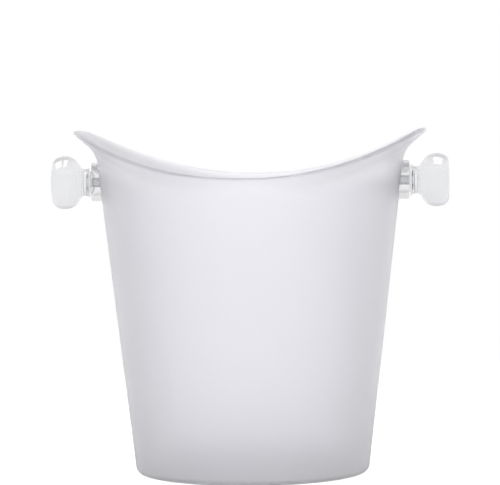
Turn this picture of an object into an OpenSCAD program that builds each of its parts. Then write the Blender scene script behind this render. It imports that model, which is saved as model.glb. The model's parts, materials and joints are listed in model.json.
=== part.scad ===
// Champagne bucket: a tapered one-wall vessel with a saddle-shaped flared rim, and a clear
// mushroom knob on each side. Each knob is held by its own moulded stud, which passes through
// a collar, the wall, a rubber seal and a slip washer, and takes a dome nut inside.
// Millimetres, +Z up, origin at the middle of the foot, on the surface that it stands on.
// The knobs lie along X: "left" is -X and "right" is +X.

/* [Bucket] */
// Height of the two raised ears of the rim
ear_h = 249.5; // [235:0.5:265]
// Height of the low front and back of the rim
rim_low_h = 215.9; // [205:0.1:220]
// Outer radius of the wall where its line meets the ground
base_r = 84.7; // [80:0.1:92]
// Lean of the wall from the vertical, in degrees
draft = 6.65; // [5:0.05:8]
// Thickness of the wall
wall_t = 3.2; // [2.5:0.1:3.6]
// Thickness of the floor
floor_t = 4; // [3:0.5:6]
// Radius of the rounded outer corner of the foot
foot_corner_r = 5; // [3:0.5:7]
// Width of the flat ring that the bucket stands on
foot_ring_w = 9; // [6:1:14]
// Depth of the hollow under the floor
foot_recess = 1; // [0.5:0.1:2]

/* [Rim flare] */
// How far the lip stands out from the line of the wall at the ears
ear_reach = 14.3; // [9:0.1:15]
// How far the lip stands out at the low front and back
low_reach = 1.7; // [1.4:0.1:3]
// Angle of the flare from the wall at the ears, in degrees
ear_flare_a = 46.5; // [40:0.5:55]
// Angle of the flare from the wall at the low front and back, in degrees
low_flare_a = 20; // [14:1:22]
// Radius of the bend where the wall turns out into the flare
flare_bend_r = 19; // [14:1:22]

/* [Knobs] */
// Height of the knobs' axis
knob_z = 211.7; // [208:0.1:214]
// Distance from the bucket's axis to a knob's flat outer end
knob_end_x = 144.3; // [142:0.1:148]
// Largest radius of a knob's head
head_r = 19.4; // [17:0.1:21]
// Radius of a knob's neck
neck_r = 9.8; // [9:0.1:11]
// Radius of a collar
collar_r = 14.6; // [13.5:0.1:15]
// Distance from the bucket's axis to a collar's outer face
collar_x = 116; // [115:0.5:117]

/* [Fixings] */
// Radius of a knob's stud
stud_r = 5; // [4:0.5:6]
// Radial running clearance of a stud in its collar and washer
run_gap = 0.06; // [0.02:0.01:0.1]
// End clearance of a knob between its collar and its nut
turn_gap = 0.05; // [0.02:0.01:0.1]
// Radius of a seal
seal_r = 11; // [9:0.5:12]
// Radius of a slip washer
washer_r = 10.5; // [9:0.5:12]
// Thickness of a slip washer
washer_t = 1.6; // [1:0.1:2.5]
// Width of a dome nut across its flats
nut_flats = 17; // [15:0.5:20]

/* [Hidden] */

$fn = 96;
eps = 0.01;
overrun = 1;                            // how far a cutting tool runs past what it cuts
slope = tan(draft);                     // outward run of the wall per unit of height
wall_across = wall_t / cos(draft);      // thickness of the wall, measured level
lip_r = wall_t / 2;                     // the lip is a full round

// The rim is cut as a saddle: high at the ears, low at the front and back.
rise_power = 2.36;
crest_round = 0.08;                     // rounds off the tips of the ears
flare_power = 3.6;

// The rim band above this height is swept in RIM_SIDES steps; all below it is turned.
band_z = 190;
RIM_SIDES = 72;
BEND_STEPS = 5;
LIP_STEPS = 4;
FOOT_STEPS = 8;

// Knob outline: arcs that meet tangent to each other.
crown_x = 9.3;                          // from the outer end to the widest ring of the head
crown_r = 14.9;                         // bend of the head from its widest ring outwards
crown_a = 21.7;
crown_join_a = 17.4;                    // where the crown's outline meets the end corner's
end_corner_r = 6;                       // bend from the crown into the flat outer end
shoulder_r = 11.6;                      // bend of the head from its widest ring to the neck
shoulder_start_a = 6;
shoulder_a = 60;
throat_r = 3.8;                         // hollow between the head and the neck
foot_fillet_r = 4.6;                    // hollow between the neck and the foot
foot_rise = 4.3;                        // height of that hollow's centre above the foot
collar_edge_r = 1;
END_STEPS = 8;
CROWN_STEPS = 4;
SHOULDER_STEPS = 9;
HOLLOW_STEPS = 6;
EDGE_STEPS = 6;

// Collars and seals are drawn this deep and then cut back to the wall.
collar_depth = 14;
seal_depth = 12;
cone_reach = 30;                        // how far the wall's cone runs above and below the knobs
CONE_SIDES = 180;

shell_hole_r = stud_r + 0.6;            // the hole in the wall clears the stud
seal_hole_r = stud_r + 0.3;
seal_gap = 0.1;                         // keeps the seal's face clear of the rim band's facets
seal_x = 103;                           // flat inner face of a seal
washer_x = seal_x - washer_t;
nut_base_x = washer_x - turn_gap;       // face of the nut that bears on the washer
nut_hex_t = 6.5;
nut_dome_r = nut_flats / 2 - 0.4;       // a little inside the flats
nut_chamfer = 0.9;
nut_bore_depth = 9.5;
nut_end_space = 0.5;                    // left between the stud's tip and the end of the bore
thread_bite = 0.2;                      // the nut's thread overlaps the stud's by this much
stud_end_x = nut_base_x - nut_bore_depth + nut_end_space;

// Radius of the wall's outer face at height z.
function wall_r(z) = base_r + z * slope;

// Share of the full rise, and of the full flare, at angle t round the rim.
function rise(t) =
    let (drop = 1 - pow(abs(cos(t)), rise_power))
    1 - (norm([drop, crest_round]) - crest_round) / (norm([1, crest_round]) - crest_round);
function spread(t) = 1 - pow(1 - pow(cos(t), 2), flare_power);

function lip_z(t) = rim_low_h - lip_r + (ear_h - rim_low_h) * rise(t);
function reach(t) = low_reach + (ear_reach - low_reach) * spread(t);
function flare_a(t) = low_flare_a + (ear_flare_a - low_flare_a) * spread(t);

// Length of the straight stretch between the bend and the lip.
function flare_len(t) = (reach(t) - flare_bend_r * (1 - cos(flare_a(t)))) / sin(flare_a(t));
function flare_h(t) = flare_bend_r * sin(flare_a(t)) + flare_len(t) * cos(flare_a(t));

// A point half-way through the wall: z is its height, out its distance beyond the wall's line.
function mid_wall(z, out) = [wall_r(z) - wall_across / 2 + out, z];

// Direction square to the wall, outwards, where it leans a degrees more than the plain wall.
function out_dir(a) = let (b = atan(slope + tan(a))) [cos(b), -sin(b)];
function lip_dir(a, turn) = let (b = atan(slope + tan(a)) - turn) [cos(b), -sin(b)];

// Middle line of the flare at angle t: the bend, then the lip's centre.
function bend_a(t, i) = flare_a(t) * i / BEND_STEPS;
function bend_mid(t, i) =
    let (a = bend_a(t, i))
    mid_wall(lip_z(t) - flare_h(t) + flare_bend_r * sin(a), flare_bend_r * (1 - cos(a)));
function lip_mid(t) = mid_wall(lip_z(t), reach(t));

// Closed outline of the rim band at angle t: up the outside, round the lip, down the inside.
function band_outline(t) = concat(
    [[wall_r(band_z), band_z]],
    [for (i = [0:BEND_STEPS]) bend_mid(t, i) + lip_r * out_dir(bend_a(t, i))],
    [for (k = [0:LIP_STEPS]) lip_mid(t) + lip_r * lip_dir(flare_a(t), 180 * k / LIP_STEPS)],
    [for (i = [BEND_STEPS:-1:0]) bend_mid(t, i) - lip_r * out_dir(bend_a(t, i))],
    [[wall_r(band_z) - wall_across, band_z]]
);

// Points of an arc about c, from angle a to angle b, both in degrees.
function arc(c, r, a, b, steps) = [for (i = [0:steps]) let (g = a + (b - a) * i / steps)
    c + r * [cos(g), sin(g)]];

module rim_band() {
    rings = [for (j = [0:RIM_SIDES - 1]) band_outline(360 * j / RIM_SIDES)];
    n = len(rings[0]);
    points = [for (j = [0:RIM_SIDES - 1], p = rings[j])
        [p[0] * cos(360 * j / RIM_SIDES), p[0] * sin(360 * j / RIM_SIDES), p[1]]];
    faces = [for (j = [0:RIM_SIDES - 1], i = [0:n - 1])
        let (k = (j + 1) % RIM_SIDES, m = (i + 1) % n)
        each [[j * n + i, j * n + m, k * n + m], [j * n + i, k * n + m, k * n + i]]];
    polyhedron(points, faces);
}

// Floor, foot and wall up to the rim band.
module cup() {
    inner_corner_r = foot_corner_r;
    corner = [wall_r(foot_corner_r) - foot_corner_r / cos(draft), foot_corner_r];
    floor_corner = [wall_r(floor_t + inner_corner_r) - wall_across - inner_corner_r / cos(draft),
        floor_t + inner_corner_r];
    rotate_extrude()
        polygon(concat(
            [[0, foot_recess], [corner[0] - foot_ring_w - foot_recess, foot_recess],
                [corner[0] - foot_ring_w, 0]],
            arc(corner, foot_corner_r, -90, -draft, FOOT_STEPS),
            [[wall_r(band_z), band_z], [wall_r(band_z) - wall_across, band_z]],
            arc(floor_corner, inner_corner_r, -draft, -90, FOOT_STEPS),
            [[0, floor_t]]
        ));
}

// side is 1 for +X and -1 for -X; what is drawn along +Z points outwards along the knob's axis.
module on_knob_axis(side, x) {
    translate([side * x, 0, knob_z])
        rotate([0, side * 90, 0])
            children();
}

module bucket_shell() {
    color([0.86, 0.86, 0.90, 0.7])
        difference() {
            union() {
                cup();
                rim_band();
            }
            for (side = [-1, 1])
                on_knob_axis(side, seal_x - overrun)
                    cylinder(h = collar_x - seal_x + 2 * overrun, r = shell_hole_r);
        }
}

// Solid cone that follows the wall's outer face, or its inner face when inset by wall_across.
module wall_cone(inset) {
    low = knob_z - cone_reach;
    high = knob_z + cone_reach;
    translate([0, 0, low])
        cylinder(h = high - low, r1 = wall_r(low) - inset, r2 = wall_r(high) - inset, $fn = CONE_SIDES);
}

// Clear disc with a flat outer face; its back is hollowed to sit on the wall.
module collar(side) {
    edge = [collar_r - collar_edge_r, collar_depth - collar_edge_r];
    color([0.93, 0.94, 0.97, 0.5])
        difference() {
            on_knob_axis(side, collar_x - collar_depth)
                rotate_extrude()
                    polygon(concat(
                        [[stud_r + run_gap, 0], [collar_r, 0]],
                        arc(edge, collar_edge_r, 0, 90, EDGE_STEPS),
                        [[stud_r + run_gap, collar_depth]]
                    ));
            wall_cone(0);
        }
}

// Head, neck, foot and stud in one turned piece, drawn with its outer end at height 0.
module knob(side) {
    crown = [head_r - crown_r, -crown_x];
    shoulder = [head_r - shoulder_r, -crown_x];
    end_corner = crown + (crown_r - end_corner_r) * [cos(crown_a), sin(crown_a)];
    end_lift = -(end_corner[1] + end_corner_r);
    shoulder_end = shoulder + shoulder_r * [cos(shoulder_a), -sin(shoulder_a)];
    throat_top_r = neck_r + throat_r * (1 - cos(shoulder_a));
    throat_top_z = shoulder_end[1] - (shoulder_end[0] - throat_top_r) / tan(shoulder_a);
    throat = [neck_r + throat_r, throat_top_z - throat_r * sin(shoulder_a)];
    foot_z = collar_x + turn_gap - knob_end_x;
    foot = [neck_r + foot_fillet_r, min(throat[1], foot_z + foot_rise)];
    foot_a = asin((foot[1] - foot_z) / foot_fillet_r);
    stud_end_z = stud_end_x - knob_end_x;
    color([0.93, 0.94, 0.97, 0.5])
        on_knob_axis(side, knob_end_x)
            rotate_extrude()
                polygon(concat(
                    [[0, 0]],
                    [for (p = arc(end_corner, end_corner_r, 90, crown_a, END_STEPS)) p + [0, end_lift]],
                    arc(crown, crown_r, crown_join_a, 0, CROWN_STEPS),
                    arc(shoulder, shoulder_r, -shoulder_start_a, -shoulder_a, SHOULDER_STEPS),
                    arc(throat, throat_r, 180 - shoulder_a, 180, HOLLOW_STEPS),
                    arc(foot, foot_fillet_r, 180, 180 + foot_a, HOLLOW_STEPS),
                    [[stud_r, foot_z], [stud_r, stud_end_z], [0, stud_end_z]]
                ));
}

// Rubber wedge: its back follows the inside of the wall, its front is flat for the washer.
module seal(side) {
    color([0.80, 0.81, 0.83])
        intersection() {
            on_knob_axis(side, seal_x)
                difference() {
                    cylinder(h = seal_depth, r = seal_r);
                    translate([0, 0, -overrun])
                        cylinder(h = seal_depth + 2 * overrun, r = seal_hole_r);
                }
            wall_cone(wall_across + seal_gap);
        }
}

module slip_washer(side) {
    color([0.90, 0.91, 0.93])
        on_knob_axis(side, washer_x)
            difference() {
                cylinder(h = washer_t, r = washer_r);
                translate([0, 0, -overrun])
                    cylinder(h = washer_t + 2 * overrun, r = stud_r + run_gap);
            }
}

// Hexagon nut with a closed dome, so that no thread shows inside the bucket.
module dome_nut(side) {
    corner_r = nut_flats / 2 / cos(30);
    color([0.93, 0.94, 0.97, 0.5])
        on_knob_axis(side, nut_base_x)
            rotate([180, 0, 0])
                difference() {
                    union() {
                        intersection() {
                            cylinder(h = nut_hex_t, r = corner_r, $fn = 6);
                            rotate_extrude()
                                polygon([[0, 0], [corner_r - nut_chamfer, 0], [corner_r, nut_chamfer / 2],
                                    [corner_r, nut_hex_t - nut_chamfer],
                                    [corner_r - nut_chamfer, nut_hex_t], [0, nut_hex_t]]);
                        }
                        translate([0, 0, nut_hex_t - eps])
                            intersection() {
                                sphere(r = nut_dome_r);
                                cylinder(h = nut_dome_r, r = nut_dome_r);
                            }
                    }
                    translate([0, 0, -overrun])
                        cylinder(h = nut_bore_depth + overrun, r = stud_r - thread_bite);
                }
}

bucket_shell();
collar(-1);  // left_collar
collar(1);  // right_collar
knob(-1);  // left_knob
knob(1);  // right_knob
seal(-1);  // left_seal
seal(1);  // right_seal
slip_washer(-1);  // left_washer
slip_washer(1);  // right_washer
dome_nut(-1);  // left_nut
dome_nut(1);  // right_nut
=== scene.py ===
"""Looks of the frosted champagne bucket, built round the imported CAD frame.

Everything is in metres in the frame's own axes: +Z up, +X towards the right knob.
Places and main sizes come from the CAD nodes' boxes. The wall's lean and the arcs of the rim
and the knobs repeat the named values of part.scad, in millimetres times MM.
"""
import json
import math

import bpy
import numpy as np
from mathutils import Matrix, Vector


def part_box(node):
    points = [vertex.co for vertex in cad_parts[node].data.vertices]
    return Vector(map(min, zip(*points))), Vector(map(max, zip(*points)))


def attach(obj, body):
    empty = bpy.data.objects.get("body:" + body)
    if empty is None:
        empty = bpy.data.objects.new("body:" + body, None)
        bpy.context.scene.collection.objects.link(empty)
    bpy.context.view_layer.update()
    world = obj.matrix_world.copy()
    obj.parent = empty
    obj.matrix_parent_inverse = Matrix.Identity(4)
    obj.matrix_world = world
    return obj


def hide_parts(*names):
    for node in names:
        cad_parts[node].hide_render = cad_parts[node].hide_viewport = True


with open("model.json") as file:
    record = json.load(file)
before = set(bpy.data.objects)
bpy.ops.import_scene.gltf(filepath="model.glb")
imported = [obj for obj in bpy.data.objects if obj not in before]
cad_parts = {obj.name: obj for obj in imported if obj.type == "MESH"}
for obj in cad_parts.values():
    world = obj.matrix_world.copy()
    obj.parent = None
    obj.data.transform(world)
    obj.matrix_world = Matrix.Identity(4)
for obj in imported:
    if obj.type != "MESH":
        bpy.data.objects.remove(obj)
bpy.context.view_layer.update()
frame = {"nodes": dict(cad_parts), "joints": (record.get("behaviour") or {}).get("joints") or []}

MM = 0.001
SIDES = {"left": -1, "right": 1}

# ---------------------------------------------------------------- sizes from the frame

SHELL_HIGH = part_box("bucket_shell")[1]
KNOB_LOW, KNOB_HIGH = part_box("right_knob")
COLLAR_LOW, COLLAR_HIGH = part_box("right_collar")
NUT_LOW, NUT_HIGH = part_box("right_nut")

KNOB_Z = next(j["pos_m"][2] for j in frame["joints"] if j["name"] == "right_knob_turn")
HEAD_R = (KNOB_HIGH.z - KNOB_LOW.z) / 2
COLLAR_R = (COLLAR_HIGH.z - COLLAR_LOW.z) / 2
COLLAR_X = COLLAR_HIGH.x

# ---------------------------------------------------------------- sizes shared with part.scad

BASE_R = 84.7 * MM
SLOPE = math.tan(math.radians(6.65))
WALL_T = 3.2 * MM
FLOOR_T = 4 * MM
FOOT_CORNER_R = 5 * MM
FOOT_RING_W = 9 * MM
FOOT_RECESS = 1 * MM
RIM_LOW_H = 215.9 * MM
EAR_REACH = 14.3 * MM
LOW_REACH = 1.7 * MM
EAR_FLARE_A = math.radians(46.5)
LOW_FLARE_A = math.radians(20)
FLARE_BEND_R = 19 * MM
RISE_POWER = 2.36
CREST_ROUND = 0.08
FLARE_POWER = 3.6

NECK_R = 9.8 * MM
STUD_R = 5 * MM
CROWN_X = 9.3 * MM
CROWN_R = 14.9 * MM
CROWN_A = math.radians(21.7)
END_CORNER_R = 6 * MM
SHOULDER_R = 11.6 * MM
SHOULDER_A = math.radians(60)
THROAT_R = 3.8 * MM
FOOT_FILLET_R = 4.6 * MM
FOOT_RISE = 4.3 * MM
COLLAR_EDGE_R = 1 * MM
STUD_HOLE_R = 5.6 * MM
TURN_GAP = 0.05 * MM
NUT_HEX_T = 6.5 * MM

WALL_ACROSS = WALL_T * math.hypot(1, SLOPE)
LIP_R = WALL_T / 2

# ---------------------------------------------------------------- sizes that only the looks have

# Width of the band by the lip that is glossier and coloured lighter, a painted light on the rim.
LIP_GLOSS_AND_LIGHT_W = 3 * MM
STUD_ROOT_W = 0.5 * MM
STUD_ROOT_H = 0.2 * MM
STUD_CHAMFER = 0.8 * MM
THREAD_PITCH = 1.75 * MM
THREAD_DEPTH = 0.45 * MM
THREAD_SHAPE = 0.7
THREAD_RUNOUT_ROWS = 6
COLLAR_BORE_GAP = 0.06 * MM
COLLAR_BORE_EDGE = 0.3 * MM
COLLAR_SEAT = 0.03 * MM
NUT_DOME_INSET = 0.4 * MM
NUT_CORNER_SHARE = 0.985
NUT_EDGE_SHARES = [0.93, 0.975, 1.0]
NUT_SOFT_EDGE = 0.5 * MM
NUT_BORE_GAP = 0.05 * MM
NUT_BORE_EDGE = 0.2 * MM
NUT_BORE_CHAMFER = 0.6 * MM
NUT_END_SPACE = 0.4 * MM
SOFT_EDGE_W = 0.25 * MM


# ---------------------------------------------------------------- mesh helpers

def arc(centre, radius, start, end, steps):
    """Points of an arc in a plane, from angle start to angle end."""
    angles = np.linspace(start, end, steps + 1)
    return np.stack([centre[0] + radius * np.cos(angles), centre[1] + radius * np.sin(angles)], 1)


def line(start, end, steps):
    """Points along a straight stretch, without its two ends."""
    shares = np.linspace(0, 1, steps + 1)[1:-1, None]
    return np.asarray(start) * (1 - shares) + np.asarray(end) * shares


def mesh_object(name, points, faces, sharp_angle):
    """A smooth-shaded mesh object whose edges are kept sharp above sharp_angle, in radians."""
    mesh = bpy.data.meshes.new(name)
    mesh.from_pydata([tuple(p) for p in points], [], faces)
    mesh.validate()
    mesh.shade_smooth()
    mesh.set_sharp_from_angle(angle=sharp_angle)
    made = bpy.data.objects.new(name, mesh)
    bpy.context.scene.collection.objects.link(made)
    return made


def swept(name, rings, sharp_angle=math.radians(40)):
    """Joins outlines that go round an axis: rings[j][i] is point i of outline j.
    Each outline starts and ends on the axis, where its points meet in one pole."""
    count, size = rings.shape[0], rings.shape[1]
    inner = size - 2
    points = [rings[0, 0], rings[0, -1]] + list(rings[:, 1:-1].reshape(-1, 3))

    def at(j, i):
        return 2 + (j % count) * inner + i

    faces = []
    for j in range(count):
        faces.append((0, at(j, 0), at(j + 1, 0)))
        faces.append((1, at(j + 1, inner - 1), at(j, inner - 1)))
        for i in range(inner - 1):
            faces.append((at(j, i), at(j, i + 1), at(j + 1, i + 1), at(j + 1, i)))
    return mesh_object(name, points, faces, sharp_angle)


def closed_ring(name, rings, sharp_angle=math.radians(40)):
    """Joins closed outlines that go round an axis without touching it."""
    count, size = rings.shape[0], rings.shape[1]
    faces = []
    for j in range(count):
        for i in range(size):
            k, m = (j + 1) % count, (i + 1) % size
            faces.append((j * size + i, j * size + m, k * size + m, k * size + i))
    return mesh_object(name, rings.reshape(-1, 3), faces, sharp_angle)


def round_knob_axis(side, outline, steps):
    """Turns (height along the knob's axis, radius) points about that axis, one outline a step."""
    turns = np.linspace(0, 2 * math.pi, steps, endpoint=False)
    height, radius = np.asarray(outline)[:, 0], np.asarray(outline)[:, 1]
    x = side * np.broadcast_to(height, (steps, len(height)))
    y = np.cos(turns)[:, None] * radius * side
    z = KNOB_Z + np.sin(turns)[:, None] * radius
    return np.stack([x, y, z], 2)


# ---------------------------------------------------------------- the shell's surface

def wall_r(z):
    """Radius of the wall's outer face at height z."""
    return BASE_R + z * SLOPE


def rise(t):
    """Share of the rim's full rise at angle t, with the tips of the ears rounded off."""
    drop = 1 - abs(math.cos(t)) ** RISE_POWER
    whole = math.hypot(1, CREST_ROUND) - CREST_ROUND
    return 1 - (math.hypot(drop, CREST_ROUND) - CREST_ROUND) / whole


def spread(t):
    """Share of the rim's full flare at angle t."""
    return 1 - (1 - math.cos(t) ** 2) ** FLARE_POWER


def shell_outline(t, wall_rows=8, bend_rows=12, lip_rows=16):
    """(radius, height) points from under the floor, up the outside, over the lip and down to the
    floor, at angle t, with each point's distance from the lip for the rim's glossier finish and its
    painted light."""
    ear_h = SHELL_HIGH.z
    lip_z = RIM_LOW_H - LIP_R + (ear_h - RIM_LOW_H) * rise(t)
    reach = LOW_REACH + (EAR_REACH - LOW_REACH) * spread(t)
    flare_a = LOW_FLARE_A + (EAR_FLARE_A - LOW_FLARE_A) * spread(t)
    straight = (reach - FLARE_BEND_R * (1 - math.cos(flare_a))) / math.sin(flare_a)
    bend_z = lip_z - FLARE_BEND_R * math.sin(flare_a) - straight * math.cos(flare_a)

    def across(a, turn=0.0):
        b = math.atan(SLOPE + math.tan(a)) - turn
        return np.array([math.cos(b), -math.sin(b)])

    def middle(z, out):
        return np.array([wall_r(z) - WALL_ACROSS / 2 + out, z])

    angles = [flare_a * i / bend_rows for i in range(bend_rows + 1)]
    bend = [middle(bend_z + FLARE_BEND_R * math.sin(a), FLARE_BEND_R * (1 - math.cos(a)))
            for a in angles]
    lip = middle(lip_z, reach)
    outside = [p + LIP_R * across(a) for p, a in zip(bend, angles)]
    inside = [p - LIP_R * across(a) for p, a in zip(bend, angles)]
    round_lip = [lip + LIP_R * across(flare_a, math.pi * k / lip_rows) for k in range(lip_rows + 1)]

    lean = math.atan(SLOPE)
    corner = np.array([wall_r(FOOT_CORNER_R) - FOOT_CORNER_R / math.cos(lean), FOOT_CORNER_R])
    inner_z = FLOOR_T + FOOT_CORNER_R
    inner_corner = np.array([wall_r(inner_z) - WALL_ACROSS - FOOT_CORNER_R / math.cos(lean), inner_z])
    ring_r = corner[0] - FOOT_RING_W
    recess_edge = np.array([ring_r - FOOT_RECESS, FOOT_RECESS])
    foot = arc(corner, FOOT_CORNER_R, -math.pi / 2, -lean, 8)
    heel = arc(inner_corner, FOOT_CORNER_R, -lean, -math.pi / 2, 8)
    outline = np.concatenate([
        [[0, FOOT_RECESS]],
        line([0, FOOT_RECESS], recess_edge, 4),
        [recess_edge, [ring_r, 0]],
        line([ring_r, 0], foot[0], 2),
        foot,
        line(foot[-1], outside[0], wall_rows),
        outside,
        line(outside[-1], round_lip[0], 4),
        round_lip,
        line(round_lip[-1], inside[-1], 4),
        inside[::-1],
        line(inside[0], heel[0], wall_rows),
        heel,
        line(heel[-1], [0, FLOOR_T], 5),
        [[0, FLOOR_T]],
    ])
    return outline, np.linalg.norm(outline - lip, axis=1)


def build_shell(steps=480):
    """The shell, with what its material needs at each point: inside or not, and nearness to the lip."""
    turns = np.linspace(0, 2 * math.pi, steps, endpoint=False)
    rings, from_lip = [], []
    for t in turns:
        outline, distance = shell_outline(t)
        radius, height = outline[:, 0], outline[:, 1]
        rings.append(np.stack([radius * math.cos(t), radius * math.sin(t), height], 1))
        from_lip.append(distance)
    shell = swept("frosted_shell", np.array(rings), math.radians(50))
    lip_side = int(np.argmin(from_lip[0]))
    size = len(from_lip[0])
    inside = np.tile((np.arange(size) > lip_side)[1:-1], (steps, 1)).astype(np.float32)
    # Share by the lip that makes it glossier and colours it lighter: painted light on the rim.
    gloss_and_light = np.clip(1 - (np.array(from_lip)[:, 1:-1] - LIP_R) / LIP_GLOSS_AND_LIGHT_W, 0, 1)
    for name, values in (("inside", inside), ("lip_gloss_and_light", gloss_and_light)):
        layer = shell.data.attributes.new(name, "FLOAT", "POINT")
        ends = [0.0, 1.0] if name == "inside" else [0.0, 0.0]
        layer.data.foreach_set("value", np.concatenate([ends, values.ravel()]).astype(np.float32))
    cut_stud_holes(shell)
    return shell


def cut_stud_holes(shell):
    """Prints the edges of both stud holes on the wall. It is meant to bore them, but the cutter's
    faces point inwards, so nothing is removed and the wall stays closed."""
    reach = SHELL_HIGH.x
    turns = np.linspace(0, 2 * math.pi, 64, endpoint=False)
    ends = [0, 1]
    points = [(reach * (2 * e - 1), STUD_HOLE_R * math.cos(a), KNOB_Z + STUD_HOLE_R * math.sin(a))
              for e in ends for a in turns]
    n = len(turns)
    faces = [tuple(range(n)), tuple(range(2 * n - 1, n - 1, -1))]
    faces += [(i, i + n, (i + 1) % n + n, (i + 1) % n) for i in range(n)]
    cutter = mesh_object("stud_hole_cutter", points, faces, math.radians(30))
    bore = shell.modifiers.new("stud_holes", "BOOLEAN")
    bore.operation = "DIFFERENCE"
    bore.solver = "EXACT"
    bore.object = cutter
    bpy.context.view_layer.objects.active = shell
    with bpy.context.temp_override(object=shell, active_object=shell):
        bpy.ops.object.modifier_apply(modifier=bore.name)
    bpy.data.objects.remove(cutter)


# ---------------------------------------------------------------- knobs and fixings

def knob_outline():
    """(distance from the bucket's axis, radius) points from the outer end to the stud's tip."""
    end = KNOB_HIGH.x
    tip = KNOB_LOW.x
    crown = np.array([-CROWN_X, HEAD_R - CROWN_R])
    shoulder = np.array([-CROWN_X, HEAD_R - SHOULDER_R])
    end_corner = crown + (CROWN_R - END_CORNER_R) * np.array([math.sin(CROWN_A), math.cos(CROWN_A)])
    end_lift = -(end_corner[0] + END_CORNER_R)
    foot_h = COLLAR_X + TURN_GAP - end
    shoulder_end = shoulder + SHOULDER_R * np.array([-math.sin(SHOULDER_A), math.cos(SHOULDER_A)])
    throat_top_r = NECK_R + THROAT_R * (1 - math.cos(SHOULDER_A))
    throat_top_h = shoulder_end[0] - (shoulder_end[1] - throat_top_r) / math.tan(SHOULDER_A)
    throat = np.array([throat_top_h - THROAT_R * math.sin(SHOULDER_A), NECK_R + THROAT_R])
    foot = np.array([min(throat[0], foot_h + FOOT_RISE), NECK_R + FOOT_FILLET_R])
    foot_a = math.asin((foot[0] - foot_h) / FOOT_FILLET_R)
    up = math.pi / 2
    corner = arc(end_corner, END_CORNER_R, 0, up - CROWN_A, 14)
    corner[:, 0] += end_lift
    outline = np.concatenate([
        [[0, 0]],
        line([0, 0], corner[0], 10),
        corner,
        arc(crown, CROWN_R, up - CROWN_A * 0.8, up, 7),
        arc(shoulder, SHOULDER_R, up + math.radians(4), up + SHOULDER_A, 18),
        line(shoulder_end, [throat_top_h, throat_top_r], 4),
        arc(throat, THROAT_R, -up + SHOULDER_A, -up, 10),
        arc(foot, FOOT_FILLET_R, -up, -up - foot_a, 10),
    ])
    outline[:, 0] += end
    return outline, tip


def build_knob(side, name, steps=192):
    """Head, neck, foot and threaded stud, turned in one piece."""
    outline, tip = knob_outline()
    foot = outline[-1]
    shank = foot[0] - STUD_ROOT_H
    thread_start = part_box("right_washer")[0].x
    rows = 96
    thread_x = np.linspace(thread_start, tip + STUD_CHAMFER, rows)
    smooth_x = np.linspace(shank, thread_start, 6)[:-1]
    smooth = np.stack([smooth_x, np.full(len(smooth_x), STUD_R)], 1)
    thread = np.stack([thread_x, np.full(rows, STUD_R)], 1)
    nose = np.array([[tip, STUD_R - STUD_CHAMFER], [tip, STUD_R * 0.5], [tip, 0]])
    whole = np.concatenate([outline, [[foot[0], STUD_R + STUD_ROOT_W]], smooth, thread, nose])
    rings = round_knob_axis(side, whole, steps)
    first = len(outline) + 1 + len(smooth)
    turns = np.linspace(0, 1, steps, endpoint=False)[:, None]
    phase = (thread_x[None, :] / THREAD_PITCH + turns) % 1
    groove = THREAD_DEPTH * (0.5 - 0.5 * np.cos(2 * math.pi * phase)) ** THREAD_SHAPE
    from_end = np.minimum(np.arange(rows), np.arange(rows)[::-1])
    fade = np.clip(from_end / THREAD_RUNOUT_ROWS, 0, 1)
    radius = STUD_R - groove * fade
    angle = np.linspace(0, 2 * math.pi, steps, endpoint=False)[:, None]
    rings[:, first:first + rows, 1] = np.cos(angle) * radius * side
    rings[:, first:first + rows, 2] = KNOB_Z + np.sin(angle) * radius
    return swept(name, rings)


def wall_x(y, z):
    """Distance along X from the bucket's axis to the wall's outer face, at y and z."""
    return np.sqrt(wall_r(z) ** 2 - y ** 2)


def build_collar(side, name, steps=192):
    """Disc with a polished rounded edge; its back follows the wall."""
    bore_r = STUD_R + COLLAR_BORE_GAP
    edge = arc([COLLAR_X - COLLAR_EDGE_R, COLLAR_R - COLLAR_EDGE_R], COLLAR_EDGE_R, math.pi / 2, 0, 8)
    front = np.concatenate([
        edge,
        line(edge[-1], [COLLAR_X, bore_r + COLLAR_BORE_EDGE], 8),
        [[COLLAR_X, bore_r + COLLAR_BORE_EDGE], [COLLAR_X - COLLAR_BORE_EDGE, bore_r]],
    ])
    back_r = np.linspace(bore_r, COLLAR_R, 8)
    turns = np.linspace(0, 2 * math.pi, steps, endpoint=False)
    rings = []
    for t in turns:
        y, z = np.cos(t) * side, np.sin(t)
        back_x = wall_x(back_r * y, KNOB_Z + back_r * z) + COLLAR_SEAT
        side_x = np.linspace(back_x[-1], edge[0, 0], 6)[1:-1]
        outline = np.concatenate([
            front,
            np.stack([back_x, back_r], 1),
            np.stack([side_x, np.full(len(side_x), COLLAR_R)], 1),
        ])
        rings.append(np.stack([side * outline[:, 0], y * outline[:, 1], KNOB_Z + z * outline[:, 1]], 1))
    return closed_ring(name, np.array(rings))


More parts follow.
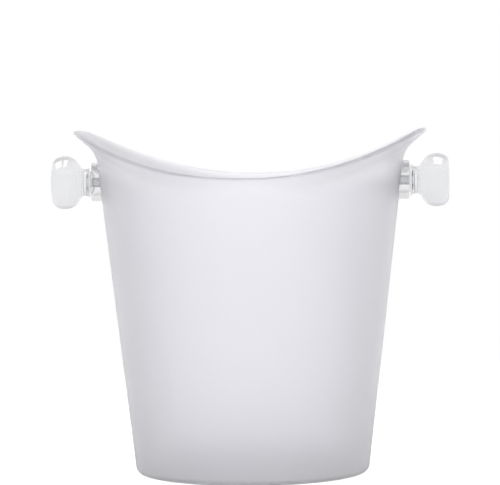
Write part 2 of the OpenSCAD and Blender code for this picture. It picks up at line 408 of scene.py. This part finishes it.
def build_nut(side, name, steps=192):
    """Hexagon nut with softened corners and a closed polished dome."""
    base = NUT_HIGH.x
    flats = (NUT_HIGH.y - NUT_LOW.y) / 2
    corner_r = flats / math.cos(math.pi / 6)
    dome_r = flats - NUT_DOME_INSET
    bore_r = STUD_R + NUT_BORE_GAP
    bore_end = KNOB_LOW.x - NUT_END_SPACE
    hex_end = base - NUT_HEX_T
    soft = NUT_SOFT_EDGE
    heights = np.concatenate([
        [base, base - soft * 0.3, base - soft],
        np.linspace(base - soft, hex_end + soft, 8)[1:],
        [hex_end + soft * 0.3, hex_end],
    ])
    shares = np.concatenate([NUT_EDGE_SHARES, np.ones(7), NUT_EDGE_SHARES[1::-1]])
    dome = arc([hex_end, 0], dome_r, math.pi / 2, math.pi, 18)
    turns = np.linspace(0, 2 * math.pi, steps, endpoint=False)
    rings = []
    for t in turns:
        sector = (t + math.pi / 6) % (math.pi / 3) - math.pi / 6
        hexagon = flats / math.cos(sector)
        radius = min(hexagon, corner_r * NUT_CORNER_SHARE)
        outline = np.concatenate([
            [[bore_end, 0]],
            [[bore_end, bore_r * 0.6], [bore_end + NUT_BORE_CHAMFER, bore_r]],
            line([bore_end + NUT_BORE_CHAMFER, bore_r], [base, bore_r], 10),
            [[base, bore_r + NUT_BORE_EDGE]],
            np.stack([heights, radius * shares], 1),
            dome,
        ])
        y, z = math.cos(t) * side, math.sin(t)
        rings.append(np.stack([side * outline[:, 0], y * outline[:, 1], KNOB_Z + z * outline[:, 1]], 1))
    return swept(name, np.array(rings)[:, ::-1], math.radians(35))


# ---------------------------------------------------------------- materials

# Below a roughness of about 0.27 the shell shows crinkled lines once a render is denoised
FROST_ROUGH = (0.30, 0.42)
INSIDE_ROUGH = (0.28, 0.31)
LIP_ROUGH = (0.28, 0.30)
MILKY_TINTS = (0.948, 0.945, 0.976, 1), (0.960, 0.958, 0.984, 1)
# The inside faces are tinted darker than the milky outside: painted shade on the inner faces of the
# same plastic.
INSIDE_PAINTED_SHADE_TINT = (0.815, 0.81, 0.845, 1)
# The lip is coloured lighter than the rest of the shell: painted light on the rim.
LIP_PAINTED_LIGHT_TINT = (0.968, 0.963, 1.0, 1)
OUTSIDE_CLARITY, INSIDE_CLARITY, LIP_CLARITY = 0.78, 1.0, 0.84
CLEAR_TINTS = (0.76, 0.763, 0.775, 1), (0.79, 0.793, 0.802, 1)
RUBBER_TINTS = (0.66, 0.67, 0.68, 1), (0.76, 0.77, 0.78, 1)
NYLON_TINTS = (0.84, 0.84, 0.82, 1), (0.90, 0.90, 0.88, 1)
PLASTIC_IOR = 1.49

class Nodes:
    """Short forms for building one material's node tree."""

    def __init__(self, name):
        self.material = bpy.data.materials.new(name)
        self.material.use_nodes = True
        self.tree = self.material.node_tree
        self.shader = self.tree.nodes["Principled BSDF"]
        self.place = self.tree.nodes.new("ShaderNodeTexCoord").outputs["Object"]

    def add(self, kind, inputs=None, **settings):
        node = self.tree.nodes.new(kind)
        for key, value in settings.items():
            setattr(node, key, value)
        for key, value in (inputs or {}).items():
            self.put(node.inputs[key], value)
        return node

    def put(self, socket, value):
        if isinstance(value, bpy.types.NodeSocket):
            self.tree.links.new(value, socket)
        else:
            socket.default_value = value

    def noise(self, scale, detail=2.0, rough=0.5, stretch=(1, 1, 1)):
        """Noise with about scale features to the metre, drawn out along an axis by stretch."""
        spot = self.add("ShaderNodeMapping", {"Vector": self.place, "Scale": stretch})
        made = self.add("ShaderNodeTexNoise", {"Vector": spot.outputs["Vector"], "Scale": scale,
                                               "Detail": detail, "Roughness": rough})
        return made.outputs["Fac"]

    def remap(self, value, low, high, to_low, to_high):
        made = self.add("ShaderNodeMapRange", {"Value": value, "From Min": low, "From Max": high,
                                               "To Min": to_low, "To Max": to_high})
        return made.outputs["Result"]

    def math(self, operation, a, b=0.0):
        return self.add("ShaderNodeMath", {0: a, 1: b}, operation=operation).outputs["Value"]

    def mix(self, share, a, b):
        """a where share is 0 and b where it is 1, for two numbers."""
        made = self.add("ShaderNodeMix", {"Factor": share, "A": a, "B": b}, data_type="FLOAT")
        return made.outputs["Result"]

    def blend(self, share, a, b):
        """The same for two colours."""
        made = self.tree.nodes.new("ShaderNodeMix")
        made.data_type = "RGBA"
        sockets = {s.identifier: s for s in made.inputs}
        self.put(sockets["Factor_Float"], share)
        self.put(sockets["A_Color"], a)
        self.put(sockets["B_Color"], b)
        return next(s for s in made.outputs if s.identifier == "Result_Color")

    def attribute(self, name):
        return self.add("ShaderNodeAttribute", attribute_name=name).outputs["Fac"]

    def bump(self, height, strength, distance, normal=None):
        inputs = {"Height": height, "Strength": strength, "Distance": distance}
        if normal is not None:
            inputs["Normal"] = normal
        return self.add("ShaderNodeBump", inputs).outputs["Normal"]

    def set(self, **values):
        for key, value in values.items():
            self.put(self.shader.inputs[key.replace("_", " ")], value)


def frosted_material():
    """Clear plastic, blasted to an even frost outside, smoother inside and satin on the lip. Its inside
    faces are tinted darker, which is painted shade, and its lip lighter, which is painted light.
    """
    m = Nodes("frosted_plastic")
    inside, lip = m.attribute("inside"), m.attribute("lip_gloss_and_light")
    grain = m.noise(900, 3.0, 0.7)
    cloud = m.noise(26, 3.0, 0.55)
    runs = m.noise(60, 2.0, 0.5, stretch=(1, 1, 0.12))
    frost = m.remap(m.math("ADD", m.remap(grain, 0.3, 0.7, 0, 0.5), m.remap(cloud, 0.3, 0.7, 0, 0.5)),
                    0, 1, *FROST_ROUGH)
    smooth_inside = m.remap(runs, 0.3, 0.7, *INSIDE_ROUGH)
    wall = m.mix(inside, frost, smooth_inside)
    rough = m.mix(lip, wall, m.remap(cloud, 0.3, 0.7, *LIP_ROUGH))
    milky = m.blend(m.remap(cloud, 0.35, 0.65, 0, 1), *MILKY_TINTS)
    # Darker colour on the inside faces: painted shade.
    walls_with_painted_shade = m.blend(inside, milky, INSIDE_PAINTED_SHADE_TINT)
    # Lighter colour by the lip: painted light on the rim.
    tint_with_painted_shade_and_light = m.blend(lip, walls_with_painted_shade, LIP_PAINTED_LIGHT_TINT)
    fine = m.bump(grain, m.remap(lip, 0, 0.3, 0.06, 0), 0.0001)
    clarity = m.mix(lip, m.mix(inside, OUTSIDE_CLARITY, INSIDE_CLARITY), LIP_CLARITY)
    m.set(Base_Color=tint_with_painted_shade_and_light, Roughness=rough, Transmission_Weight=clarity, IOR=PLASTIC_IOR,
          Normal=m.bump(runs, m.remap(lip, 0, 0.3, 0.04, 0), 0.0006, fine))
    return m.material


def clear_material():
    """Polished clear plastic with faint moulding waves and handling marks."""
    m = Nodes("clear_plastic")
    waves = m.noise(55, 1.0, 0.4)
    marks = m.noise(900, 4.0, 0.7, stretch=(1, 0.2, 1))
    m.set(Base_Color=m.blend(m.remap(waves, 0.3, 0.7, 0, 1), *CLEAR_TINTS),
          Roughness=m.remap(marks, 0.45, 0.75, 0.015, 0.07), Transmission_Weight=1.0, IOR=PLASTIC_IOR,
          Normal=m.bump(waves, 0.10, 0.0012))
    return m.material


def rubber_material():
    """Milky silicone with a dull dusty grain."""
    m = Nodes("seal_rubber")
    grain = m.noise(3200, 3.0, 0.6)
    dust = m.noise(140, 4.0, 0.6)
    m.set(Base_Color=m.blend(m.remap(dust, 0.35, 0.65, 0, 1), *RUBBER_TINTS),
          Roughness=m.remap(grain, 0.3, 0.7, 0.55, 0.75), Subsurface_Weight=0.3,
          Subsurface_Radius=(0.003, 0.003, 0.003), Normal=m.bump(grain, 0.3, 0.0001))
    return m.material


def nylon_material():
    """Natural nylon with a fine grain and a cloudy tone."""
    m = Nodes("washer_nylon")
    grain = m.noise(1500, 3.0, 0.6)
    cloud = m.noise(120, 2.0, 0.5)
    m.set(Base_Color=m.blend(m.remap(cloud, 0.35, 0.65, 0, 1), *NYLON_TINTS),
          Roughness=m.remap(grain, 0.3, 0.7, 0.32, 0.48), Subsurface_Weight=0.4,
          Subsurface_Radius=(0.002, 0.002, 0.002), Normal=m.bump(grain, 0.2, 0.00008))
    return m.material


# ---------------------------------------------------------------- assembly

def dress(piece, material):
    piece.data.materials.clear()
    piece.data.materials.append(material)


def build_object():
    """Makes and dresses every piece, and returns the polished clear ones."""
    frosted, clear = frosted_material(), clear_material()
    rubber, nylon = rubber_material(), nylon_material()
    polished = []
    shell = build_shell()
    dress(shell, frosted)
    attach(shell, "bucket")
    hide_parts("bucket_shell")
    for word, side in SIDES.items():
        for kind, make, body in (("knob", build_knob, f"{word}_handle"),
                                 ("collar", build_collar, "bucket"),
                                 ("nut", build_nut, f"{word}_handle")):
            piece = make(side, f"{word}_clear_{kind}")
            dress(piece, clear)
            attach(piece, body)
            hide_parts(f"{word}_{kind}")
            polished.append(piece)
        for node, material in ((f"{word}_seal", rubber), (f"{word}_washer", nylon)):
            cad = frame["nodes"][node]
            cad.data.materials.clear()
            cad.data.materials.append(material)
            soften = cad.modifiers.new("soft_edges", "BEVEL")
            soften.width = SOFT_EDGE_W
            soften.segments = 3
            soften.limit_method = "ANGLE"
    return polished


# ---------------------------------------------------------------- camera, floor and light

# Brightness of the studio by the height of the direction looked in, from level to straight up,
# and by its depth, from the front of the studio at 0 to the back of it at 1
SKY_BY_HEIGHT = ((0.0, 1.0), (0.70, 0.97), (0.88, 0.78), (1.0, 0.68))
SKY_BY_DEPTH = ((0.0, 0.80), (0.18, 0.80), (0.26, 0.72), (0.40, 0.42),
                (0.60, 0.42), (0.74, 0.72), (0.82, 0.80), (1.0, 0.80))
SKY_STRENGTH = 1.32
SKY_BLUE = 1.004
# Light goes round inside the clear knobs many times, and with fewer bounces parts of them go black
BOUNCES = 28


def place_camera():
    """Nearly level, from 1.9 m in front and a little to the right, with a long lens."""
    turn, distance, height = math.radians(2.90), 1.8759, 0.2500
    pitch, aside, roll = math.radians(2.5325), math.radians(0.019), math.radians(-0.543)
    heading = turn + aside
    forward = Vector((-math.sin(heading) * math.cos(pitch),
                      math.cos(heading) * math.cos(pitch), -math.sin(pitch)))
    level = Vector((math.cos(heading), math.sin(heading), 0))
    rise_dir = level.cross(forward)
    right = math.cos(roll) * level + math.sin(roll) * rise_dir
    up = right.cross(forward)
    data = bpy.data.cameras.new("camera")
    data.sensor_width = 36
    data.lens = 185.63
    camera = bpy.data.objects.new("camera", data)
    bpy.context.scene.collection.objects.link(camera)
    camera.matrix_world = Matrix((right, up, -forward)).transposed().to_4x4()
    camera.location = (distance * math.sin(turn), -distance * math.cos(turn), height)
    bpy.context.scene.camera = camera


def build_floor():
    """A small light table, which glows more to the camera than to other rays, and whose edge fades
    into the studio, so that no horizon shows. To other rays it glows less near its middle, a
    painted shadow under the bucket."""
    radius, fade_start = 0.9, 0.3
    glow_start, glow_end = 0.20, 0.34
    # To rays other than the camera's, the floor glows less near its middle, fading out between
    # glow_start and glow_end from the middle: a painted shadow under the bucket.
    painted_shadow_glow, far_glow, seen_glow = 0.23, 0.48, 0.76
    turns = np.linspace(0, 2 * math.pi, 96, endpoint=False)
    points = [(radius * math.cos(a), radius * math.sin(a), 0) for a in turns]
    floor = mesh_object("floor", points, [tuple(range(len(points)))], math.radians(30))
    m = Nodes("pale_floor")
    speck = m.noise(9, 3.0, 0.5)
    seen = m.add("ShaderNodeLightPath").outputs["Is Camera Ray"]
    from_middle = m.add("ShaderNodeVectorMath", {0: m.place}, operation="LENGTH").outputs["Value"]
    unseen_glow_with_painted_shadow = m.remap(from_middle, glow_start, glow_end, painted_shadow_glow, far_glow)
    m.set(Base_Color=m.blend(speck, (0.40, 0.40, 0.402, 1), (0.42, 0.42, 0.422, 1)), Roughness=0.7,
          Emission_Color=(1, 1, 1, 1), Emission_Strength=m.mix(seen, unseen_glow_with_painted_shadow, seen_glow),
          Alpha=m.remap(from_middle, fade_start, radius, 1, 0))
    floor.data.materials.append(m.material)


def softbox(name, place, target, size, radiance):
    """A rectangular lamp of a given brightness, aimed at a point."""
    data = bpy.data.lights.new(name, "AREA")
    data.shape = "RECTANGLE"
    data.size, data.size_y = size
    data.energy = radiance * math.pi * size[0] * size[1]
    lamp = bpy.data.objects.new(name, data)
    bpy.context.scene.collection.objects.link(lamp)
    lamp.location = place
    lamp.rotation_mode = "QUATERNION"
    lamp.rotation_quaternion = (Vector(target) - Vector(place)).to_track_quat("-Z", "Y")
    lamp.visible_transmission = False
    return lamp


def build_world():
    """A white studio: plain white behind the object for the camera, and for every other ray pale
    all round, with a greyer belt between front and back that outlines the clear pieces."""
    world = bpy.data.worlds.new("studio")
    bpy.context.scene.world = world
    world.use_nodes = True
    tree = world.node_tree
    tree.nodes.clear()
    new, link = tree.nodes.new, tree.links.new
    split = new("ShaderNodeSeparateXYZ")
    link(new("ShaderNodeTexCoord").outputs["Generated"], split.inputs["Vector"])

    def ramp(value, stops):
        made = new("ShaderNodeValToRGB")
        while len(made.color_ramp.elements) < len(stops):
            made.color_ramp.elements.new(0.5)
        for element, (where, grey) in zip(made.color_ramp.elements, stops):
            element.position = where
            element.color = (grey, grey, min(grey * SKY_BLUE, 1), 1)
        link(value, made.inputs["Fac"])
        return made.outputs["Color"]

    depth = new("ShaderNodeMapRange")
    depth.inputs["From Min"].default_value = -1
    link(split.outputs["Y"], depth.inputs["Value"])
    by_height = ramp(split.outputs["Z"], SKY_BY_HEIGHT)
    by_depth = ramp(depth.outputs["Result"], SKY_BY_DEPTH)
    both = new("ShaderNodeMix")
    both.data_type = "RGBA"
    both.blend_type = "MULTIPLY"
    sockets = {socket.identifier: socket for socket in both.inputs}
    sockets["Factor_Float"].default_value = 1
    link(by_height, sockets["A_Color"])
    link(by_depth, sockets["B_Color"])
    tinted = next(socket for socket in both.outputs if socket.identifier == "Result_Color")

    around, behind = new("ShaderNodeBackground"), new("ShaderNodeBackground")
    behind.inputs["Color"].default_value = (1, 1, 1, 1)
    link(tinted, around.inputs["Color"])
    around.inputs["Strength"].default_value = SKY_STRENGTH
    mixed, output = new("ShaderNodeMixShader"), new("ShaderNodeOutputWorld")
    link(new("ShaderNodeLightPath").outputs["Is Camera Ray"], mixed.inputs["Fac"])
    link(around.outputs["Background"], mixed.inputs[1])
    link(behind.outputs["Background"], mixed.inputs[2])
    link(mixed.outputs["Shader"], output.inputs["Surface"])
    bpy.context.scene.view_settings.view_transform = "Standard"
    bpy.context.scene.cycles.max_bounces = BOUNCES
    bpy.context.scene.cycles.transmission_bounces = BOUNCES
    bpy.context.scene.cycles.glossy_bounces = BOUNCES


def build_lights(polished):
    """Two fills on the front and two on the back, which light frosted faces but aren't mirrored, and
    two panels overhead with a gap between them, seen only as windows in the polished pieces."""
    aside, away, up = 0.85, 1.4, 1.0
    fill_target, fill_size, fill_radiance = (0, 0, 0.12), (1.2, 0.8), 4.4
    for depth_word, y in (("front", -away), ("back", away)):
        for side_word, side in SIDES.items():
            name, place = f"fill_{depth_word}_{side_word}", (side * aside, y, up)
            fill = softbox(name, place, fill_target, fill_size, fill_radiance)
            fill.visible_glossy = False
    mirrors = bpy.data.collections.new("panel_receivers")
    for piece in polished:
        mirrors.objects.link(piece)
    height, middle_y, depth, panel_radiance = 0.9, 0.06, 0.56, 4.0
    for name, start_x, end_x in (("panel_left", -0.68, -0.29), ("panel_right", -0.19, 0.45)):
        middle_x = (start_x + end_x) / 2
        place, target = (middle_x, middle_y, height), (middle_x, middle_y, 0)
        panel = softbox(name, place, target, (end_x - start_x, depth), panel_radiance)
        panel.visible_diffuse = False
        panel.light_linking.receiver_collection = mirrors


place_camera()
polished_pieces = build_object()
build_floor()
build_world()
build_lights(polished_pieces)
